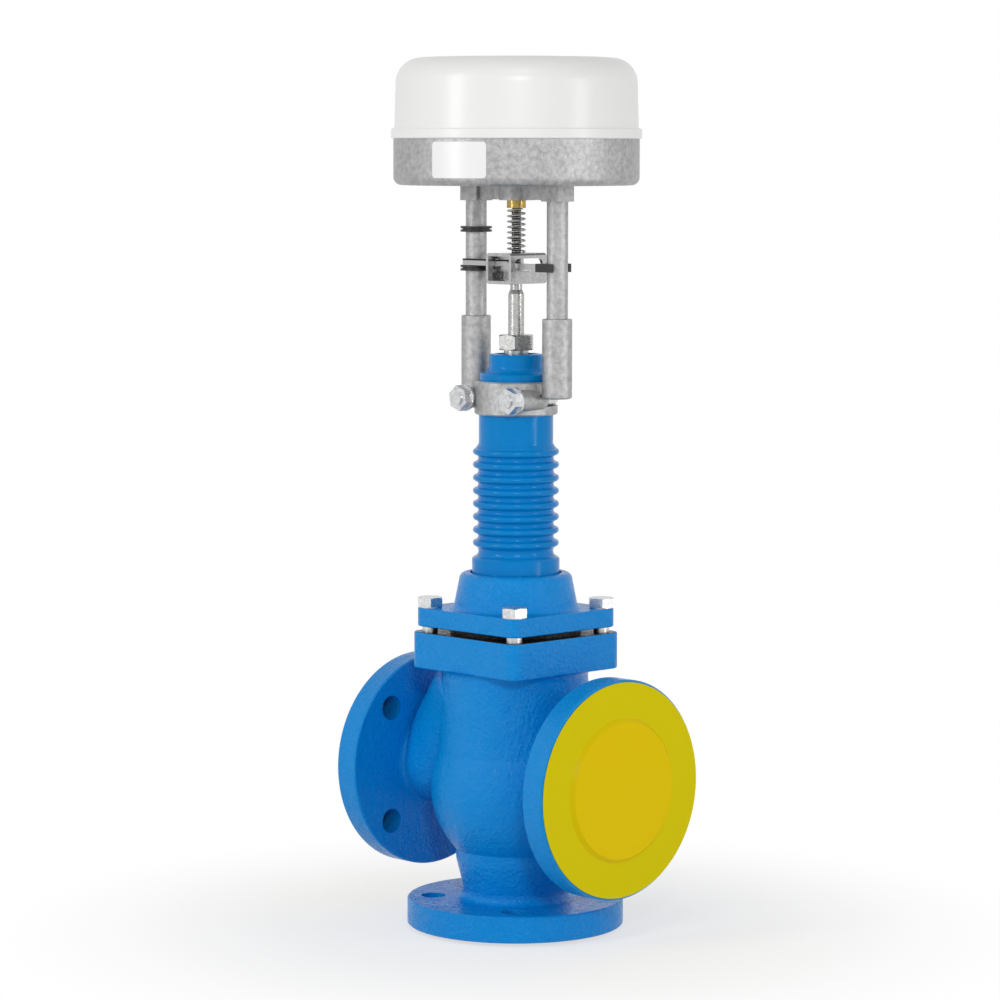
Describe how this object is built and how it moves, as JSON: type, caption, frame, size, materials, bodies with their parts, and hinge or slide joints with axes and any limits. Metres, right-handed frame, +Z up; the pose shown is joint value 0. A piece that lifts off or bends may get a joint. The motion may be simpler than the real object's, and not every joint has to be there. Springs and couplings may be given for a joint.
{
  "type": "three-way control valve",
  "caption": "Flanged three-way control valve: cast body with two side ports and a bottom port, finned neck, yoke and electric linear actuator lifting the stem.",
  "frame": {"origin": "centre of the bottom port's sealing face", "axes": "+Z up along the stem to the actuator, +X along the side ports towards the port of the middle chamber, -Y towards the U-bolt nuts"},
  "size_m": [0.2322, 0.1978, 0.6603],
  "materials": {
    "blue_casting": "glossy blue paint over cast iron",
    "blue_machined": "glossy blue paint over turned steel",
    "stainless": "turned stainless steel",
    "zinc": "bright zinc plated steel",
    "die_cast": "bare die-cast aluminium",
    "cover_white": "glossy white plastic",
    "cap_yellow": "thin translucent yellow plastic",
    "black_plastic": "black plastic",
    "brass": "turned brass",
    "graphite": "pressed graphite",
    "board_green": "green circuit board",
    "motor_steel": "drawn steel can",
    "terminal_grey": "moulded plastic"
  },
  "bodies": {
    "valve": {"valve_body": "blue_casting", "lower_seat": "stainless", "upper_seat": "stainless", "bonnet": "blue_casting", "bonnet_gasket": "graphite", "bonnet_bolts": "zinc", "guide_bush": "brass", "cooling_neck": "blue_machined", "packing_housing": "blue_machined", "packing_rings": "graphite", "gland_nut": "stainless", "yoke_clamp": "die_cast", "u_bolt": "zinc", "clamp_nuts": "zinc", "columns": "die_cast", "spindle_bush": "brass", "return_spring": "stainless", "actuator_base": "die_cast", "gear_deck": "zinc", "idler_pin": "stainless", "motor": "motor_steel", "board_posts": "brass", "circuit_board": "board_green", "terminal_block": "terminal_grey", "limit_switches": "black_plastic", "cable_gland": "black_plastic", "blanking_plug": "black_plastic"},
    "trim": {"plug": "stainless", "stem": "stainless", "coupling_bracket": "zinc", "coupling_nut": "zinc", "guide_arm": "zinc", "guide_fork": "black_plastic", "spindle": "stainless"},
    "drive_gear_body": {"drive_gear": "brass"},
    "idler_gear_body": {"idler_gear": "brass"},
    "pinion_body": {"motor_pinion": "stainless"},
    "cover_body": {"cover": "cover_white"},
    "left_cap_body": {"left_port_cap": "cap_yellow"},
    "right_cap_body": {"right_port_cap": "cap_yellow"},
    "low_ring_body": {"low_marker_ring": "black_plastic"},
    "high_ring_body": {"high_marker_ring": "black_plastic"}
  },
  "joints": [
    {"name": "stem_travel", "type": "slide", "parent": "valve", "child": "trim", "axis": [0, 0, 1], "range_m": [0, 0.02], "deforming": ["return_spring"]},
    {"name": "drive_gear_spin", "type": "hinge", "parent": "valve", "child": "drive_gear_body", "pos_m": [0, 0, 0.575], "axis": [0, 0, 1], "range_deg": [-1, 1801]},
    {"name": "idler_gear_spin", "type": "hinge", "parent": "valve", "child": "idler_gear_body", "pos_m": [-0.0225, 0.03897, 0.575], "axis": [0, 0, 1], "range_deg": [-2701, 1]},
    {"name": "pinion_spin", "type": "hinge", "parent": "valve", "child": "pinion_body", "pos_m": [-0.04744, 0.02864, 0.575], "axis": [0, 0, 1], "range_deg": [-1, 5401]},
    {"name": "cover_lift", "type": "slide", "parent": "valve", "child": "cover_body", "axis": [0, 0, 1], "range_m": [0, 0.07]},
    {"name": "left_cap_pull", "type": "slide", "parent": "valve", "child": "left_cap_body", "axis": [-1, 0, 0], "range_m": [0, 0.05]},
    {"name": "right_cap_pull", "type": "slide", "parent": "valve", "child": "right_cap_body", "axis": [1, 0, 0], "range_m": [0, 0.05]},
    {"name": "low_ring_slide", "type": "slide", "parent": "valve", "child": "low_ring_body", "axis": [0, 0, 1], "range_m": [-0.03, 0]},
    {"name": "high_ring_slide", "type": "slide", "parent": "valve", "child": "high_ring_body", "axis": [0, 0, 1], "range_m": [0, 0.018]}
  ],
  "couplings": [
    {"joint": "drive_gear_spin", "follows": "stem_travel", "rad_per_m": 1570.8},
    {"joint": "idler_gear_spin", "follows": "stem_travel", "rad_per_m": -2356.2},
    {"joint": "pinion_spin", "follows": "stem_travel", "rad_per_m": 4712.4}
  ]
}
